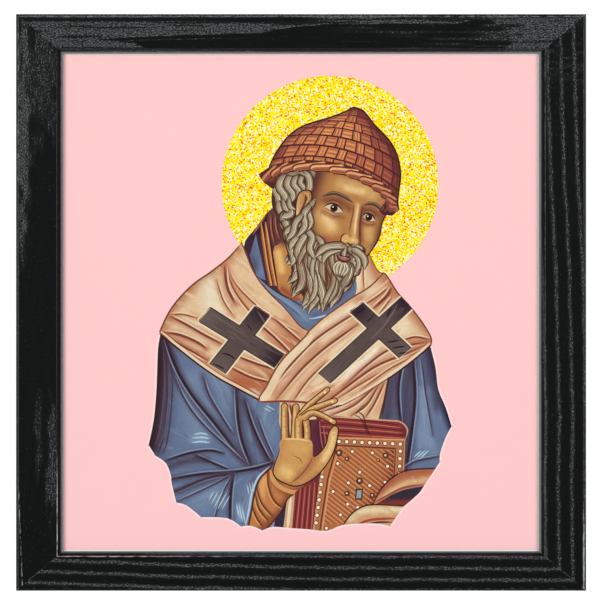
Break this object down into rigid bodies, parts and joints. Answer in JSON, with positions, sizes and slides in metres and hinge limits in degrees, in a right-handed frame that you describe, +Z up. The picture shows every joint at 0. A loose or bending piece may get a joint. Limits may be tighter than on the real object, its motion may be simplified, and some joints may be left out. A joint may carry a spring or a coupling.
{
  "type": "icon tile",
  "caption": "Square glazed icon tile printed with a haloed bishop saint giving a blessing, in a mitred black open-grain wood frame with a sawtooth hanger on its back.",
  "frame": {"origin": "centre of the hanger's raised outer face, which lies against the wall", "axes": "+Z up along the picture's height, +Y into the wall, the picture faces -Y and its left is -X"},
  "size_m": [0.171, 0.0143, 0.173],
  "materials": {
    "frame_wood": "black stain over open grain, the hard late wood smooth and satin, the soft early wood rough and grey",
    "tile_glaze": "white ceramic tile with a pink ground and a coloured picture printed under a clear glaze",
    "hardboard": "brown pressed hardboard, matt",
    "hanger_steel": "zinc-plated sheet steel"
  },
  "bodies": {
    "root": {"rail_top": "frame_wood", "rail_bottom": "frame_wood", "rail_left": "frame_wood", "rail_right": "frame_wood", "tile": "tile_glaze", "backing_board": "hardboard", "hanger": "hanger_steel", "hanger_nail_left": "hanger_steel", "hanger_nail_right": "hanger_steel"}
  },
  "joints": []
}
